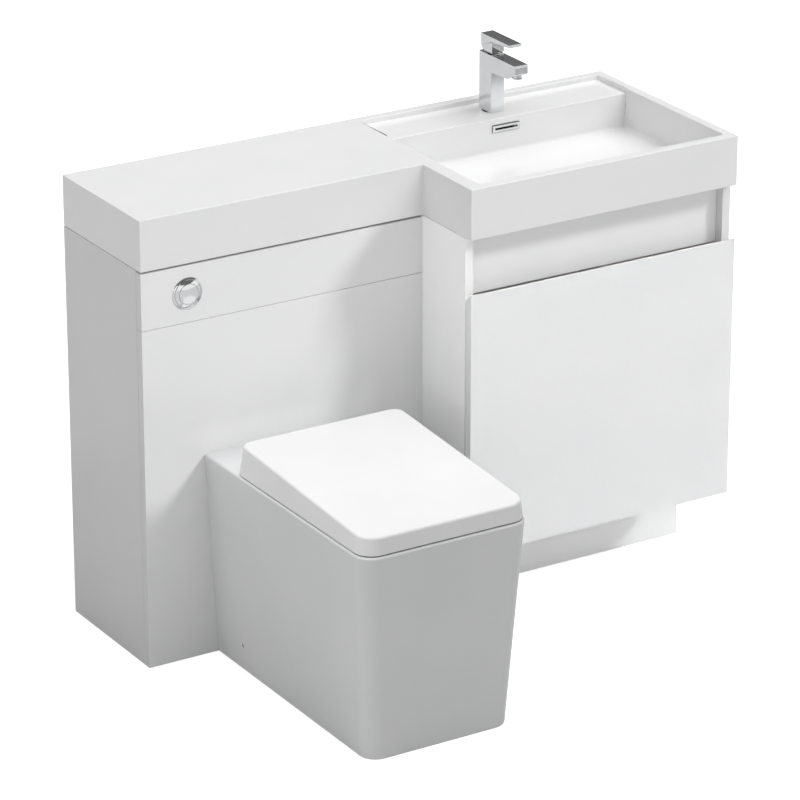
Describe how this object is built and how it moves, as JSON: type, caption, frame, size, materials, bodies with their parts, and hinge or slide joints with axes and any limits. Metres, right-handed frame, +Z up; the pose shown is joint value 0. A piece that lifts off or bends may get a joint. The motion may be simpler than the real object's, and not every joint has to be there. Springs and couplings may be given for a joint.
{
  "type": "toilet and basin combination unit",
  "caption": "Gloss white bathroom furniture: a back-to-wall pan on a slim WC unit beside a drawer unit with an inset basin, joined by one cast L-shaped worktop with a mixer tap.",
  "frame": {"origin": "centre of the whole object's box, on the floor", "axes": "+X to the right along the wall, +Y back into the wall, +Z up"},
  "size_m": [1.2, 0.876, 1.034],
  "materials": {
    "board": "gloss white lacquer on board",
    "inner_board": "matt melamine",
    "cast_resin": "smooth white gel coat on a mineral casting",
    "ceramic": "glossy white glaze",
    "seat": "glossy white thermoset",
    "chrome": "polished",
    "steel": "zinc plated",
    "brass": "plain",
    "white_plastic": "satin moulded",
    "grey_plastic": "satin moulded",
    "blue_plastic": "satin moulded",
    "rubber": "matt"
  },
  "bodies": {
    "unit": {"wc_side_left": "board", "wc_side_right": "board", "wc_front_lower": "board", "wc_front_upper": "board", "vanity_side_left": "board", "vanity_side_right": "board", "vanity_base": "board", "grip_panel": "board", "plinth_front": "board", "plinth_end": "board", "wc_back_rails": "inner_board", "vanity_back_rails": "inner_board", "basin_top": "cast_resin", "pan": "ceramic", "overflow_trim": "chrome", "waste_body": "chrome", "waste_bridge": "chrome", "tap_body": "chrome", "tap_aerator": "chrome", "hinge_posts": "chrome", "button_housing": "chrome", "joining_screws": "steel", "tap_fixing": "steel", "tap_clamp": "steel", "pan_screws": "steel", "runner_outer": "steel", "tap_nut": "brass", "waste_nut": "white_plastic", "trap_body": "white_plastic", "trap_nuts": "white_plastic", "trap_outlet": "white_plastic", "cistern_tank": "white_plastic", "cistern_lid": "white_plastic", "flush_valve": "white_plastic", "fill_valve": "white_plastic", "flush_pipe": "white_plastic", "soil_connector": "white_plastic", "seat_nuts": "white_plastic", "pan_brackets": "white_plastic", "panel_blocks": "grey_plastic", "access_clips": "grey_plastic", "adjustable_feet": "grey_plastic", "plinth_clips": "grey_plastic", "overflow_duct": "grey_plastic", "tap_seal": "rubber"},
    "drawer": {"drawer_front": "board", "drawer_sides": "inner_board", "drawer_back": "inner_board", "drawer_base": "inner_board", "runner_inner": "steel"},
    "runner_middle": {"runner_middle": "steel"},
    "seat": {"seat_ring": "seat"},
    "lid": {"lid": "seat"},
    "full_button": {"flush_button_full": "chrome"},
    "half_button": {"flush_button_half": "chrome"},
    "flush_core": {"flush_valve_core": "blue_plastic"},
    "float": {"fill_float": "blue_plastic"},
    "waste_plug": {"waste_plug": "chrome"},
    "cartridge": {"tap_cartridge": "grey_plastic"},
    "lever": {"tap_spindle": "steel", "tap_lever": "chrome"}
  },
  "joints": [
    {"name": "drawer_slide", "type": "slide", "parent": "unit", "child": "drawer", "axis": [0, -1, 0], "range_m": [0, 0.38]},
    {"name": "runner_slide", "type": "slide", "parent": "unit", "child": "runner_middle", "axis": [0, -1, 0], "range_m": [0, 0.19]},
    {"name": "seat_hinge", "type": "hinge", "parent": "unit", "child": "seat", "pos_m": [-0.3, 0.005, 0.44], "axis": [-1, 0, 0], "range_deg": [0, 96]},
    {"name": "lid_hinge", "type": "hinge", "parent": "seat", "child": "lid", "pos_m": [-0.3, 0.005, 0.44], "axis": [1, 0, 0], "range_deg": [-98, 0]},
    {"name": "full_flush_press", "type": "slide", "parent": "unit", "child": "full_button", "axis": [0, 1, 0], "range_m": [0, 0.006], "stiffness_N_per_m": 400, "springref_m": -0.005},
    {"name": "half_flush_press", "type": "slide", "parent": "full_button", "child": "half_button", "axis": [0, 1, 0], "range_m": [0, 0.006], "stiffness_N_per_m": 250, "springref_m": -0.004},
    {"name": "flush_lift", "type": "slide", "parent": "unit", "child": "flush_core", "axis": [0, 0, 1], "range_m": [0, 0.018]},
    {"name": "float_rise", "type": "slide", "parent": "unit", "child": "float", "axis": [0, 0, 1], "range_m": [0, 0.09]},
    {"name": "plug_lift", "type": "slide", "parent": "unit", "child": "waste_plug", "axis": [0, 0, 1], "range_m": [0, 0.008]},
    {"name": "tap_swivel", "type": "hinge", "parent": "unit", "child": "cartridge", "pos_m": [0.3, 0.37, 0.98], "axis": [0, 0, 1], "range_deg": [-50, 50]},
    {"name": "tap_lift", "type": "hinge", "parent": "cartridge", "child": "lever", "pos_m": [0.3, 0.37, 0.992], "axis": [-1, 0, 0], "range_deg": [0, 20]}
  ],
  "couplings": [
    {"joint": "runner_slide", "follows": "drawer_slide", "ratio": 0.5},
    {"joint": "flush_lift", "follows": "full_flush_press", "ratio": 3}
  ]
}
